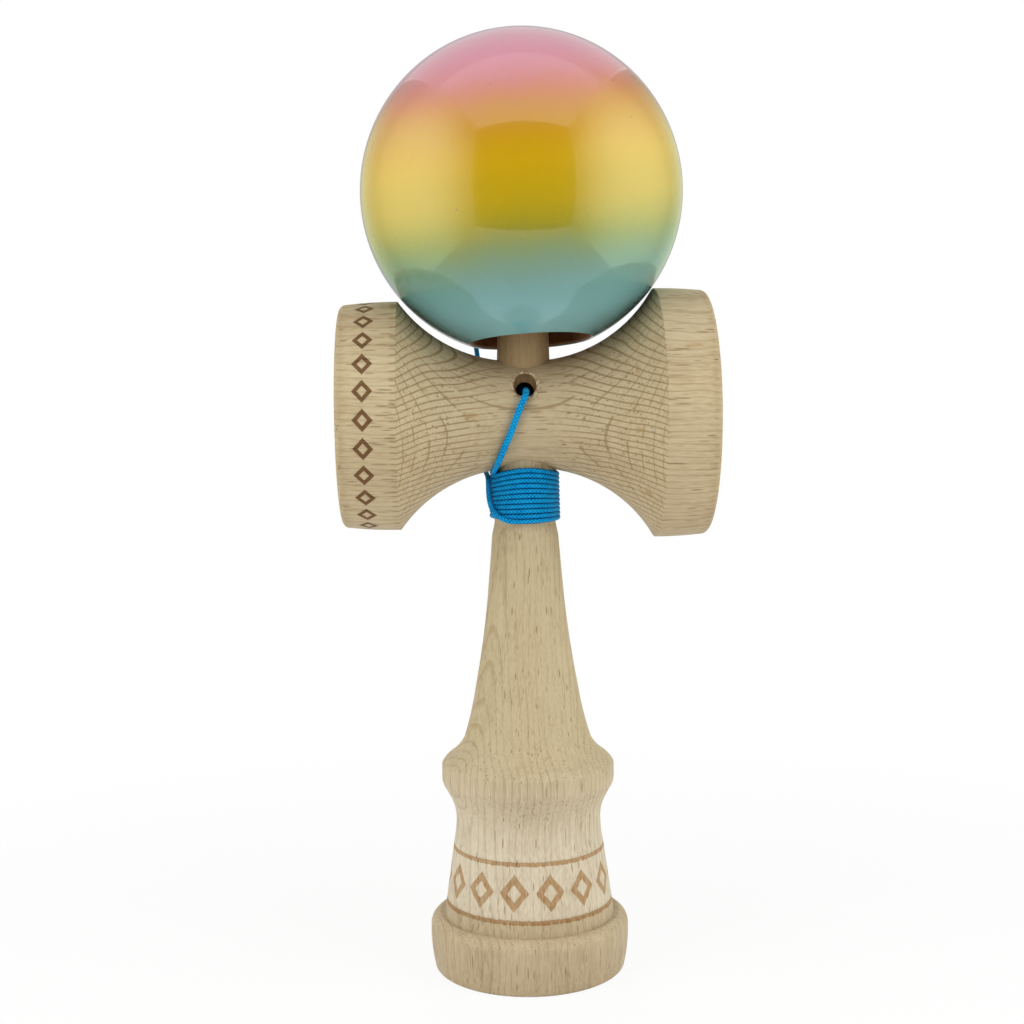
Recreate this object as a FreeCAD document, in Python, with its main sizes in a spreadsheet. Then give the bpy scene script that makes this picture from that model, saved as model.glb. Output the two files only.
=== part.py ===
"""A kendama: a turned beech ken with a tapered spike, a pair of cross cups pressed on it,
a lacquered ball on the spike and the string that ties them, wound round the neck.
Millimetres, +Z up, origin at the middle of the ken's foot, cross cups along X."""

import FreeCAD, Part
import math
import os
import re

import Sketcher
from FreeCAD import Rotation, Vector

SIZES = {
    # The ken's foot: a ring with a shallow cup turned into its underside.
    "foot_cup_radius": 15.6,
    "foot_cup_depth": 6.0,
    "foot_radius": 18.35,
    "foot_round": 0.7,
    "ring_radius": 19.05,
    "ring_widest_height": 6.4,
    "ring_side_curve": 28.0,
    "ring_shoulder_height": 8.4,
    "ring_shoulder_curve": 2.3,
    "ring_top_height": 10.5,
    "ring_top_radius": 17.3,
    # The cone that stands on the ring, and the hollow under the collar.
    "cone_foot_radius": 16.35,
    "cone_foot_height": 10.35,
    "cone_top_radius": 14.45,
    "cone_top_height": 23.8,
    "hollow_radius": 13.85,
    "hollow_height": 29.0,
    "hollow_low_curve": 30.0,
    "hollow_high_curve": 10.0,
    # The collar, a plain band with a rounded lower lip and a crisp upper edge.
    "collar_under_radius": 14.8,
    "collar_under_height": 33.3,
    "collar_lip_radius": 15.95,
    "collar_lip_height": 35.4,
    "collar_lip_curve": 3.2,
    "collar_radius": 16.5,
    "collar_band_low": 37.0,
    "collar_band_high": 39.5,
    "collar_edge_radius": 16.3,
    "collar_edge_height": 40.05,
    "collar_edge_curve": 0.8,
    "collar_top_radius": 14.7,
    "collar_top_height": 41.6,
    "collar_top_curve": 5.0,
    # The neck, from its cove above the collar up to the seat of the winding.
    "cove_radius": 12.15,
    "cove_height": 44.6,
    "cove_curve": 8.7,
    "neck_low_radius": 9.7,
    "neck_low_height": 55.1,
    "neck_low_curve": 67.0,
    "neck_mid_radius": 6.95,
    "neck_mid_height": 75.7,
    "neck_mid_curve": 186.0,
    "neck_high_radius": 6.3,
    "neck_high_height": 83.6,
    "wind_seat_radius": 5.8,
    "wind_seat_height": 86.0,
    # The spike: a slow taper in the bore of the cross cups, then a rounded tip.
    "spike_seat_radius": 5.65,
    "spike_seat_drop": 0.5,
    "spike_base_radius": 4.9,
    "spike_base_rise": 2.0,
    "spike_shoulder_radius": 4.2,
    "spike_tip_length": 3.6,
    "spike_tip_height": 152.6,
    # The cross cups: the small cup at the left, the big cup at the right.
    "cups_height": 106.4,
    "cups_reach": 34.2,
    "waist_radius": 10.1,
    "waist_flat_half": 1.5,
    "small_ridge_reach": 23.4,
    "small_ridge_radius": 21.4,
    "small_rim_radius": 20.9,
    "small_mouth_radius": 18.5,
    "small_cup_depth": 7.2,
    "big_ridge_reach": 24.5,
    "big_ridge_radius": 23.4,
    "big_rim_radius": 23.0,
    "big_mouth_radius": 20.9,
    "big_cup_depth": 9.6,
    "barrel_curve": 80.0,
    "rim_round": 1.2,
    "cups_fit_gap": 0.02,
    # The string hole in the front of the waist, and the knot's hole in the ken.
    "string_hole_rise": 5.6,
    "string_hole_radius": 2.15,
    "string_hole_chamfer": 0.5,
    "knot_hole_rise": 4.4,
    "knot_hole_radius": 1.75,
    # The ball, with the bore that takes the spike and a string hole at its top.
    "ball_radius": 30.0,
    "ball_rest_gap": 0.28,
    "ball_bore_radius": 11.1,
    "ball_bore_chamfer": 0.5,
    "ball_bore_rise": 13.2,
    "ball_bore_cone": 3.2,
    "ball_eye_radius": 1.6,
    "ball_eye_chamfer": 1.2,
    # The bead inside the ball, the two knots and the string.
    "bead_radius": 3.0,
    "bead_hole_radius": 0.8,
    "bead_seat_gap": 0.3,
    "knot_radius": 1.5,
    "knot_length": 3.0,
    "knot_flat_radius": 0.9,
    "knot_bead_gap": 0.05,
    "cord_diameter": 0.95,
    # The winding: where it starts, its pitch at the sides, how far the first and the
    # last turn stand higher at front and back than there, and the gap between turns.
    "wind_start_drop": 0.75,
    "wind_pitch": 0.81,
    "wind_first_arch": 1.0,
    "wind_last_arch": -0.1,
    "wind_gap": 0.42,
}
WIND_TURNS = 10.99
WIND_START_ANGLE = 200.0
WIND_ARCS_PER_TURN = 4
TURN_STEP_SHARE = 0.001
ARC_REACH_SHARE = 0.45
HANDOVER_SHARE = 0.5
# The ball lies askew on the ridges: its top leans back and to the left, in degrees.
BALL_LEAN_BACK = 6.5
BALL_LEAN_LEFT = 2.8

# The string's free route in mm, out of the front hole and over the waist. Its heights
# are from the middle of the cross cups.
FRONT_ROUTE = [
    (0.1, -3.6, 4.45),
    (0.2, -5.6, 4.6),
    (0.25, -7.6, 4.6),
    (0.15, -9.3, 4.2),
    (-0.1, -10.55, 3.1),
    (-0.55, -11.1, 1.2),
    (-1.2, -11.2, -1.2),
    (-2.2, -10.4, -4.4),
    (-3.4, -8.4, -7.6),
    (-4.35, -6.6, -9.15),
    (-4.95, -4.05, -10.65),
]
# Up the left of the winding, behind the waist and up the back of the ball.
BACK_ROUTE = [
    (-6.3, -1.65, -19.75),
    (-6.85, -0.95, -19.35),
    (-7.18, -0.6, -18.45),
    (-7.28, -0.55, -17.2),
    (-7.2, -0.5, -15.1),
    (-7.22, -0.35, -13.5),
    (-7.22, 0.45, -12.0),
    (-7.25, 2.3, -11.35),
    (-7.35, 4.95, -10.65),
    (-7.4, 8.4, -8.1),
    (-7.45, 10.9, -4.4),
    (-7.55, 11.8, 0.2),
    (-7.9, 13.6, 6.9),
    (-9.1, 18.1, 16.4),
    (-10.95, 23.5, 23.7),
]
# Over the ball and down through its eye to the bead, from the ball's middle and upright as
# the ball is before it leans.
TAIL_ROUTE = [
    (-12.8, 27.5, -7.55),
    (-13.1, 28.2, 3.3),
    (-11.9, 25.5, 13.7),
    (-9.35, 20.05, 22.2),
    (-6.4, 13.75, 27.3),
    (-3.85, 8.25, 29.8),
    (-2.15, 4.6, 30.75),
    (-1.1, 2.35, 31.05),
    (-0.42, 0.9, 30.3),
    (-0.05, 0.1, 28.7),
    (0.05, 0.0, 25.9),
    (-0.05, 0.05, 20.9),
    (0.0, -0.05, 15.3),
]

doc = FreeCAD.newDocument("kendama")
sheet = doc.addObject("Spreadsheet::Sheet", "sizes")
for row, (alias, number) in enumerate(SIZES.items(), start=1):
    sheet.set(f"A{row}", alias)
    sheet.set(f"B{row}", str(number))
    sheet.setAlias(f"B{row}", alias)
doc.recompute()


def bound(text):
    """An expression in the sheet's names, as setExpression wants it."""
    return re.sub(r"[a-z_]+", lambda m: "sizes." + m[0] if m[0] in SIZES else m[0], text)


def size(text):
    """The value of an expression in the sheet's names."""
    found = sheet.evalExpression(bound(text))
    return float(getattr(found, "Value", found))


def new_body(name, height="0"):
    """An empty body, lifted to its height above the foot."""
    body = doc.addObject("PartDesign::Body", name)
    body.Label = name
    body.setExpression("Placement.Base.z", bound(height))
    return body


def lay_on(feature, body, role):
    """Attaches a sketch or a cut to one of the body's own origin planes."""
    plane = next(f for f in body.Origin.OriginFeatures if f.Role == role)
    feature.AttachmentSupport = [(plane, "")]
    feature.MapMode = "FlatFace"


def new_sketch(body, name):
    """A sketch on the body's upright plane across Y."""
    sketch = body.newObject("Sketcher::SketchObject", name)
    lay_on(sketch, body, "XZ_Plane")
    return sketch


def fix_point(sketch, curve, end, across, up):
    """Binds one point of a curve to its distances from the sketch's two axes."""
    for kind, axis, text in (("DistanceX", -2, across), ("DistanceY", -1, up)):
        if text == "0":
            sketch.addConstraint(Sketcher.Constraint("PointOnObject", curve, end, axis))
        else:
            place = sketch.addConstraint(Sketcher.Constraint(kind, -1, 1, curve, end, size(text)))
            sketch.setExpression(f"Constraints[{place}]", bound(text))


def fix_radius(sketch, curve, text):
    place = sketch.addConstraint(Sketcher.Constraint("Radius", curve, size(text)))
    sketch.setExpression(f"Constraints[{place}]", bound(text))


def outline(body, name, points):
    """A closed outline. Each point is its across and up, and the radius of the curve
    that reaches it, or None for a straight line. A curve swells to the right of the
    way along the outline, and one with a minus sign to the left."""
    sketch = new_sketch(body, name)
    for before, point in zip([points[-1]] + points[:-1], points):
        a = Vector(size(before[0]), size(before[1]), 0)
        b = Vector(size(point[0]), size(point[1]), 0)
        forward = point[2] is None or size(point[2]) > 0
        if point[2] is None:
            curve = sketch.addGeometry(Part.LineSegment(a, b))
        else:
            radius = size(point[2])
            chord = b - a
            rise = abs(radius) - math.sqrt(radius**2 - (chord.Length / 2) ** 2)
            side = Vector(chord.y, -chord.x, 0).normalize() * math.copysign(rise, radius)
            middle = (a + b) / 2 + side
            arc = Part.Arc(a, middle, b) if forward else Part.Arc(b, middle, a)
            curve = sketch.addGeometry(arc)
            fix_radius(sketch, curve, f"abs({point[2]})")
        fix_point(sketch, curve, 1 if forward else 2, before[0], before[1])
        fix_point(sketch, curve, 2 if forward else 1, point[0], point[1])
    doc.recompute()
    return sketch


def turned(body, name, points, axis="V_Axis"):
    """Turns an outline all the way round one of its sketch's axes."""
    sketch = outline(body, name + "_outline", points)
    feature = body.newObject("PartDesign::Revolution", name)
    feature.Profile = sketch
    feature.ReferenceAxis = (sketch, [axis])
    feature.Angle = 360
    doc.recompute()
    return feature


def drilled(body, name, up, radius, front_only):
    """A round hole along Y, through the whole body or through its front wall alone."""
    sketch = new_sketch(body, name + "_circle")
    rim = Part.Circle(Vector(0, size(up), 0), Vector(0, 0, 1), size(radius))
    circle = sketch.addGeometry(rim)
    fix_point(sketch, circle, 3, "0", up)
    fix_radius(sketch, circle, radius)
    before = body.Shape.Volume
    hole = body.newObject("PartDesign::Pocket", name)
    hole.Profile = sketch
    hole.Type = "ThroughAll"
    hole.Midplane = not front_only
    hole.Reversed = front_only
    doc.recompute()
    taken = before - body.Shape.Volume
    print(f"{name} takes {taken:.1f} mm3")
    if taken <= 0:
        raise ValueError(f"{name} cuts nothing")
    return hole


# The ken is turned from one blank, then drilled across for the string's knot.
ken = new_body("ken")
ken_turned = turned(
    ken,
    "ken_turning",
    [
        ("0", "foot_cup_depth", None),
        ("foot_cup_radius", "0", "-(foot_cup_radius ^ 2 + foot_cup_depth ^ 2) / (2 * foot_cup_depth)"),
        ("foot_radius - foot_round", "0", None),
        ("foot_radius", "foot_round", "foot_round"),
        ("ring_radius", "ring_widest_height", "ring_side_curve"),
        ("ring_radius", "ring_shoulder_height", None),
        ("ring_top_radius", "ring_top_height", "ring_shoulder_curve"),
        ("cone_foot_radius", "cone_foot_height", None),
        ("cone_top_radius", "cone_top_height", None),
        ("hollow_radius", "hollow_height", "-hollow_low_curve"),
        ("collar_under_radius", "collar_under_height", "-hollow_high_curve"),
        ("collar_lip_radius", "collar_lip_height", None),
        ("collar_radius", "collar_band_low", "collar_lip_curve"),
        ("collar_radius", "collar_band_high", None),
        ("collar_edge_radius", "collar_edge_height", "collar_edge_curve"),
        ("collar_top_radius", "collar_top_height", "collar_top_curve"),
        ("cove_radius", "cove_height", "-cove_curve"),
        ("neck_low_radius", "neck_low_height", "-neck_low_curve"),
        ("neck_mid_radius", "neck_mid_height", "-neck_mid_curve"),
        ("neck_high_radius", "neck_high_height", None),
        ("wind_seat_radius", "wind_seat_height", None),
        ("spike_seat_radius", "cups_height - waist_radius - spike_seat_drop", None),
        ("spike_base_radius", "cups_height + waist_radius + spike_base_rise", None),
        ("spike_shoulder_radius", "spike_tip_height - spike_tip_length", None),
        (
            "0",
            "spike_tip_height",
            "(spike_shoulder_radius ^ 2 + spike_tip_length ^ 2) / (2 * spike_tip_length)",
        ),
    ],
)
drilled(ken, "knot_hole", "cups_height + knot_hole_rise", "knot_hole_radius", False)

# The cross cups are turned about X, bored across to the ken's taper and drilled
# through the front wall for the string.
cross_cups = new_body("cross_cups", "cups_height")
cups_turned = turned(
    cross_cups,
    "cups_turning",
    [
        ("small_cup_depth - cups_reach", "0", None),
        (
            "-cups_reach",
            "small_mouth_radius",
            "(small_mouth_radius ^ 2 + small_cup_depth ^ 2) / (2 * small_cup_depth)",
        ),
        ("-cups_reach", "small_rim_radius - rim_round", None),
        ("rim_round - cups_reach", "small_rim_radius", "-rim_round"),
        ("-small_ridge_reach", "small_ridge_radius", "-barrel_curve"),
        (
            "-waist_flat_half",
            "waist_radius",
            "((small_ridge_reach - waist_flat_half) ^ 2 + (small_ridge_radius - waist_radius) ^ 2)"
            " / (2 * (small_ridge_radius - waist_radius))",
        ),
        ("waist_flat_half", "waist_radius", None),
        (
            "big_ridge_reach",
            "big_ridge_radius",
            "((big_ridge_reach - waist_flat_half) ^ 2 + (big_ridge_radius - waist_radius) ^ 2)"
            " / (2 * (big_ridge_radius - waist_radius))",
        ),
        ("cups_reach - rim_round", "big_rim_radius", "-barrel_curve"),
        ("cups_reach", "big_rim_radius - rim_round", "-rim_round"),
        ("cups_reach", "big_mouth_radius", None),
        (
            "cups_reach - big_cup_depth",
            "0",
            "(big_mouth_radius ^ 2 + big_cup_depth ^ 2) / (2 * big_cup_depth)",
        ),
    ],
    "H_Axis",
)
solid_cups = cross_cups.Shape.Volume
bore = cross_cups.newObject("PartDesign::SubtractiveCone", "ken_bore")
lay_on(bore, cross_cups, "XY_Plane")
bore.setExpression("AttachmentOffset.Base.z", bound("-waist_radius - spike_seat_drop"))
bore.setExpression("Radius1", bound("spike_seat_radius + cups_fit_gap"))
bore.setExpression("Radius2", bound("spike_base_radius + cups_fit_gap"))
bore.setExpression("Height", bound("2 * waist_radius + spike_seat_drop + spike_base_rise"))
doc.recompute()
print(f"ken_bore takes {solid_cups - cross_cups.Shape.Volume:.1f} mm3")
string_hole = drilled(cross_cups, "string_hole", "string_hole_rise", "string_hole_radius", True)
mouth = Vector(0, -size("sqrt(waist_radius ^ 2 - string_hole_rise ^ 2)"), size("string_hole_rise"))
nearest = min(
    range(len(string_hole.Shape.Edges)),
    key=lambda i: (string_hole.Shape.Edges[i].BoundBox.Center - mouth).Length,
)
mouth_edge = cross_cups.newObject("PartDesign::Chamfer", "string_hole_edge")
mouth_edge.Base = (string_hole, [f"Edge{nearest + 1}"])
mouth_edge.setExpression("Size", bound("string_hole_chamfer"))
doc.recompute()

# The heights above the ball's middle where its eye and its bore break the surface.
EYE_TOP = "sqrt(ball_radius ^ 2 - (ball_eye_radius + ball_eye_chamfer) ^ 2)"
BORE_DROP = "sqrt(ball_radius ^ 2 - (ball_bore_radius + ball_bore_chamfer) ^ 2)"

# The ball is turned round its bore. It rests on the ridge of the big cup, or on the waist
# if it is small enough, and the bead inside bears on the cone at the bore's end.
RIDGE_REST = "sqrt(max(0; (ball_radius + ball_rest_gap) ^ 2 - big_ridge_reach ^ 2)) + big_ridge_radius"
BALL_HEIGHT = "cups_height + max(waist_radius + ball_radius + ball_rest_gap; " + RIDGE_REST + ")"
LEAN_LEFT = Rotation(Vector(0, 1, 0), -BALL_LEAN_LEFT)
LEAN = LEAN_LEFT.multiply(Rotation(Vector(1, 0, 0), -BALL_LEAN_BACK))
BALL_AXIS = LEAN.multVec(Vector(0, 0, 1))


def lean(body, rise):
    """Sets a body on the ball's leaning axis, at a rise from the ball's middle."""
    body.Placement.Rotation = LEAN
    for way, middle, share in zip("xyz", ("0", "0", BALL_HEIGHT), BALL_AXIS):
        body.setExpression("Placement.Base." + way, bound(f"{middle} + ({rise}) * ({share:.9f})"))


ball = new_body("ball", BALL_HEIGHT)
turned(
    ball,
    "ball_turning",
    [
        ("ball_eye_radius", EYE_TOP + " - ball_eye_chamfer", None),
        ("ball_eye_radius + ball_eye_chamfer", EYE_TOP, None),
        ("ball_bore_radius + ball_bore_chamfer", "-" + BORE_DROP, "-ball_radius"),
        ("ball_bore_radius", "ball_bore_chamfer - " + BORE_DROP, None),
        ("ball_bore_radius", "ball_bore_rise", None),
        ("ball_eye_radius", "ball_bore_rise + ball_bore_cone", None),
    ],
)

lean(ball, "0")

# The bead holds the knotted end of the string inside the ball.
BEAD_RISE = (
    "ball_bore_rise + ball_bore_cone"
    " - sqrt((bead_radius + bead_seat_gap) ^ 2 - ball_eye_radius ^ 2)"
)
bead = new_body("string_bead")
turned(
    bead,
    "bead_turning",
    [
        ("bead_hole_radius", "-sqrt(bead_radius ^ 2 - bead_hole_radius ^ 2)", None),
        ("bead_hole_radius", "sqrt(bead_radius ^ 2 - bead_hole_radius ^ 2)", "bead_radius"),
    ],
)


lean(bead, BEAD_RISE)


def knot(name, height="0"):
    """A pulled-tight knot as a small barrel with rounded edges, on a vertical axis."""
    body = new_body(name, height)
    edge = "knot_radius - knot_flat_radius"
    turned(
        body,
        name + "_turning",
        [
            ("0", "-knot_length / 2", None),
            ("knot_flat_radius", "-knot_length / 2", None),
            ("knot_radius", edge + " - knot_length / 2", edge),
            ("knot_radius", "knot_length / 2 - (" + edge + ")", None),
            ("knot_flat_radius", "knot_length / 2", edge),
            ("0", "knot_length / 2", None),
        ],
    )
    return body


KNOT_TOP_RISE = BEAD_RISE + " - sqrt(bead_radius ^ 2 - bead_hole_radius ^ 2) - knot_bead_gap"
ball_knot = knot("ball_end_knot")
lean(ball_knot, KNOT_TOP_RISE + " - knot_length / 2")
cups_knot = knot("cups_end_knot", "cups_height + knot_hole_rise")
cups_knot.Placement.Rotation = Rotation(Vector(1, 0, 0), 90)
doc.recompute()


def line_and_arcs(points):
    """The edges of straight runs joined by tangent arcs, and the arcs' radii."""
    edges = []
    radii = []
    last = points[0]
    for before, corner, after in zip(points, points[1:], points[2:]):
        back = before - corner
        on = after - corner
        reach = ARC_REACH_SHARE * min(back.Length, on.Length)
        half_turn = (math.pi - back.getAngle(on)) / 2
        radius = reach / math.tan(half_turn)
        back.normalize()
        on.normalize()
        inward = (back + on).normalize()
        middle = corner + inward * (radius / math.cos(half_turn) - radius)
        edges.append(Part.LineSegment(last, corner + back * reach).toShape())
        edges.append(Part.Arc(corner + back * reach, middle, corner + on * reach).toShape())
        radii.append(radius)
        last = corner + on * reach
    edges.append(Part.LineSegment(last, points[-1]).toShape())
    return edges, radii


def bulge(start, along, end):
    """The middle of the arc from start to end that leaves start along a direction."""
    chord = end - start
    angle = along.getAngle(chord)
    aside = (along - chord * (along.dot(chord) / chord.dot(chord))).normalize()
    return (start + end) / 2 + aside * chord.Length / 2 * math.tan(angle / 2)


def biarc(start, along, end, out):
    """Two arcs that join two places and are tangent to both directions."""
    span = end - start
    both = along + out
    spread = 2 * (1 - along.dot(out))
    dot = span.dot(both)
    reach = (math.sqrt(dot**2 + spread * span.dot(span)) - dot) / spread
    meet = (start + end + (along - out) * reach) / 2
    first = Part.Arc(start, bulge(start, along, meet), meet)
    second = Part.Arc(meet, bulge(end, out * -1, meet), end)
    return [first.toShape(), second.toShape()]


def tube(name, edges, diameter):
    """A round tube along connected edges, as a part of its own."""
    spine = Part.Wire(edges)
    first = edges[0]
    begin = first.valueAt(first.FirstParameter)
    ring = Part.Wire([Part.makeCircle(diameter / 2, begin, first.tangentAt(first.FirstParameter))])
    shell = Part.BRepOffsetAPI.MakePipeShell(spine)
    shell.add(ring)
    shell.build()
    shell.makeSolid()
    piece = doc.addObject("Part::Feature", name)
    piece.Label = name
    piece.Shape = shell.shape()
    piece.Placement.Base = Vector(0, 0, 0)
    section = math.pi * (diameter / 2) ** 2
    share = piece.Shape.Volume / (section * spine.Length)
    print(f"{name}: {spine.Length:.1f} mm long, volume {share:.3f} of section times length")
    return piece


def wind_place(turn):
    """The middle of the cord after so many turns round the neck, clockwise from above."""
    angle = math.radians(WIND_START_ANGLE - 360 * turn)
    side_height = WIND_START_HEIGHT - size("wind_pitch") * turn
    above = side_height - size("wind_seat_height")
    narrowing = size("spike_seat_radius - wind_seat_radius")
    neck = size("wind_seat_radius") + narrowing * above / (SEAT_TOP - size("wind_seat_height"))
    radius = neck + size("cord_diameter") / 2
    first, last = size("wind_first_arch"), size("wind_last_arch")
    arch = (first + (last - first) * turn / WIND_TURNS) * math.sin(angle) ** 2
    return Vector(radius * math.cos(angle), radius * math.sin(angle), side_height + arch)


def wind_way(turn):
    """The cord's direction there."""
    return (wind_place(turn + TURN_STEP_SHARE) - wind_place(turn - TURN_STEP_SHARE)).normalize()


def least_gap(edges, diameter):
    """The least distance between two turns' surfaces, measured on points."""
    spine = Part.Wire(edges)
    points = spine.discretize(Distance=diameter)
    skip = math.ceil(2 * math.pi * size("wind_seat_radius") / (2 * diameter))
    middles = [
        (points[i] - points[j]).Length
        for i in range(len(points))
        for j in range(i + skip, len(points))
    ]
    return min(middles) - diameter


SEAT_TOP = size("cups_height - waist_radius - spike_seat_drop")
WIND_START_HEIGHT = size("cups_height - waist_radius - wind_start_drop")
wind_diameter = size("wind_pitch - wind_gap")
steps = math.ceil(WIND_TURNS * WIND_ARCS_PER_TURN)
turns = [WIND_TURNS * k / steps for k in range(steps + 1)]
wind_begin = wind_place(0) - wind_way(0) * wind_diameter
wind_end = wind_place(WIND_TURNS) + wind_way(WIND_TURNS) * wind_diameter
wind_edges = [Part.LineSegment(wind_begin, wind_place(0)).toShape()]
for a, b in zip(turns, turns[1:]):
    wind_edges += biarc(wind_place(a), wind_way(a), wind_place(b), wind_way(b))
wind_edges.append(Part.LineSegment(wind_place(WIND_TURNS), wind_end).toShape())
winding = tube("string_winding", wind_edges, wind_diameter)
print(f"string_winding: least gap to itself {least_gap(wind_edges, wind_diameter):.3f} mm")

cord = size("cord_diameter")
knot_face = Vector(0, -size("knot_length") / 2, size("cups_height + knot_hole_rise"))
front_route = [Vector(x, y, z + size("cups_height")) for x, y, z in FRONT_ROUTE]
back_route = [Vector(x, y, z + size("cups_height")) for x, y, z in BACK_ROUTE]
ball_middle = Vector(0, 0, size(BALL_HEIGHT))
tail_route = [ball_middle + LEAN.multVec(Vector(*place)) for place in TAIL_ROUTE]
handover = back_route[-1] * (1 - HANDOVER_SHARE) + tail_route[0] * HANDOVER_SHARE
front_points = [knot_face] + front_route + [wind_begin]
back_points = [wind_end] + back_route + [handover]
tail_points = [handover] + tail_route + [ball_middle + BALL_AXIS * size(KNOT_TOP_RISE)]
stretches = {}
for name, points in (
    ("string_front_stretch", front_points),
    ("string_back_stretch", back_points),
    ("string_tail", tail_points),
):
    edges, radii = line_and_arcs(points)
    stretches[name] = tube(name, edges, cord)
    print(f"{name}: radii {[round(r, 1) for r in radii]}")
    print(f"{name}: runs {[round((b - a).Length, 1) for a, b in zip(points, points[1:])]}")

doc.recompute()
failed = [o.Label for o in doc.Objects if {"Invalid", "Error"} & set(o.State)]
if failed:
    raise ValueError(f"these failed to build: {failed}")
parts = [ken, cross_cups, ball, bead, ball_knot, cups_knot, winding, *stretches.values()]
os.makedirs("parts", exist_ok=True)
for piece in parts:
    if piece.Shape.isNull() or not piece.Shape.isValid():
        raise ValueError(f"{piece.Label} has no valid shape")
for piece in parts:
    piece.Shape.exportStep(f"parts/{piece.Label}.step")
    print(f"{piece.Label}: {piece.Shape.Volume:.1f} mm3, {len(piece.Shape.Solids)} solid")
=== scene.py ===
"""The looks of a kendama: a beech ken and cross cups, a lacquered ball and a braided string.
Metres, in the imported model's frame: +Z up, cross cups along X, string hole towards -Y."""

import math

import bmesh
import bpy
from mathutils import Matrix, Vector


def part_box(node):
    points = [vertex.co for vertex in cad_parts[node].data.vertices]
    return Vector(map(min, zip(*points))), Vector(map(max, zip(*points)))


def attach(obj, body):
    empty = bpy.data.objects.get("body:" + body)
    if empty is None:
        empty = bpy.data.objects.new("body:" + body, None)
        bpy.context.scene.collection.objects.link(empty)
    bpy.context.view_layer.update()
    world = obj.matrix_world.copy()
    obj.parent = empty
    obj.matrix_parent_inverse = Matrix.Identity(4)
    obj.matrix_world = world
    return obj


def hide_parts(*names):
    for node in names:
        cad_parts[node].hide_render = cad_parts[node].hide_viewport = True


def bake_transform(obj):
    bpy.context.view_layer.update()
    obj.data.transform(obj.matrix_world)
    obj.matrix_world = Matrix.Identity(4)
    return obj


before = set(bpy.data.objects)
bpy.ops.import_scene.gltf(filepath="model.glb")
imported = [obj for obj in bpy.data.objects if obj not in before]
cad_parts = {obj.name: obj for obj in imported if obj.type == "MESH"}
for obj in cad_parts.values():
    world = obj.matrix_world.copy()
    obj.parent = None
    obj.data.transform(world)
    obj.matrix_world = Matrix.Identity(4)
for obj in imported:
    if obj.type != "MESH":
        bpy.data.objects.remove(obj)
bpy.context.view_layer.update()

# The camera stands about 30 cm in front of the toy, a little to its left and level with the
# cross cups. It looks slightly down, and it is tipped a little, so that the toy leans left.
CAMERA_PLACE = (-0.0118, -0.3024, 0.11545)
CAMERA_LENS = 56.25
CAMERA_NEAR = 0.01
CAMERA_TURN = -1.77
CAMERA_DIP = 5.19
CAMERA_TIP = -0.7

camera = bpy.data.objects.new("camera", bpy.data.cameras.new("camera"))
bpy.context.collection.objects.link(camera)
camera.data.lens = CAMERA_LENS
camera.data.clip_start = CAMERA_NEAR
camera.matrix_world = (
    Matrix.Translation(CAMERA_PLACE)
    @ Matrix.Rotation(math.radians(CAMERA_TURN), 4, "Z")
    @ Matrix.Rotation(math.radians(90 - CAMERA_DIP), 4, "X")
    @ Matrix.Rotation(math.radians(CAMERA_TIP), 4, "Z")
)
bpy.context.scene.camera = camera

# The string is one braided nylon cord of just under a millimetre. It leaves the knot in the
# ken by the front hole, where it is slack and a little thicker, crosses the waist, goes eleven
# times round the neck, and climbs behind the waist and over the ball to the knot in it.
STRING_DIAMETER = 0.00095
STRING_STEPS = 8
STRING_ROUNDNESS = 5
SLACK_SWELL = [1, 1.1, 1.2] + 8 * [1.28] + [1.2, 1.1]
CUPS_HEIGHT = 0.1064
BALL_MIDDLE = Vector((0, 0, 0.147594))
BALL_LEAN_LEFT = 2.8
BALL_LEAN_BACK = 6.5
BALL_LEAN = (
    Matrix.Rotation(math.radians(-BALL_LEAN_LEFT), 3, "Y")
    @ Matrix.Rotation(math.radians(-BALL_LEAN_BACK), 3, "X")
)
# The front and back routes start from the middle of the cross cups. The tail's starts from the
# middle of the ball and leans with it, as does the height of the knot in it.
FRONT_ROUTE = [
    (0.0001, -0.0036, 0.00445),
    (0.00015, -0.0056, 0.0046),
    (0.00015, -0.0076, 0.0046),
    (0.0001, -0.0093, 0.0043),
    (-0.0002, -0.01035, 0.0034),
    (-0.0009, -0.01065, 0.002),
    (-0.00175, -0.01083, -0.0001),
    (-0.00262, -0.01056, -0.00255),
    (-0.00366, -0.0097, -0.00502),
    (-0.00471, -0.00802, -0.00756),
    (-0.0056, -0.0051, -0.00985),
    (-0.00605, -0.00295, -0.01065),
]
BACK_ROUTE = [
    (-0.003, -0.00598, -0.01965),
    (-0.004, -0.00585, -0.0194),
    (-0.0053, -0.00485, -0.01875),
    (-0.00628, -0.0036, -0.0177),
    (-0.00672, -0.0027, -0.0163),
    (-0.0069, -0.00215, -0.0148),
    (-0.0069, -0.00205, -0.0131),
    (-0.00692, -0.0013, -0.012),
    (-0.007, 0.0001, -0.01145),
    (-0.00715, 0.0019, -0.01125),
    (-0.00735, 0.00495, -0.01065),
    (-0.0074, 0.0084, -0.0081),
    (-0.00745, 0.0109, -0.0044),
    (-0.00755, 0.0118, 0.0002),
    (-0.0079, 0.0136, 0.0069),
    (-0.0091, 0.0181, 0.0164),
    (-0.01095, 0.0235, 0.0237),
]
TAIL_ROUTE = [
    (-0.0128, 0.0275, -0.00755),
    (-0.0131, 0.0282, 0.0033),
    (-0.0119, 0.0255, 0.0137),
    (-0.00935, 0.02005, 0.0222),
    (-0.0064, 0.01375, 0.0273),
    (-0.00385, 0.00825, 0.0298),
    (-0.00215, 0.0046, 0.03075),
    (-0.0011, 0.00235, 0.03105),
    (-0.00042, 0.0009, 0.0303),
    (-0.00005, 0.0001, 0.0287),
    (0.00005, 0, 0.0259),
    (-0.00005, 0.00005, 0.0209),
    (0, -0.00005, 0.0153),
]
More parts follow.
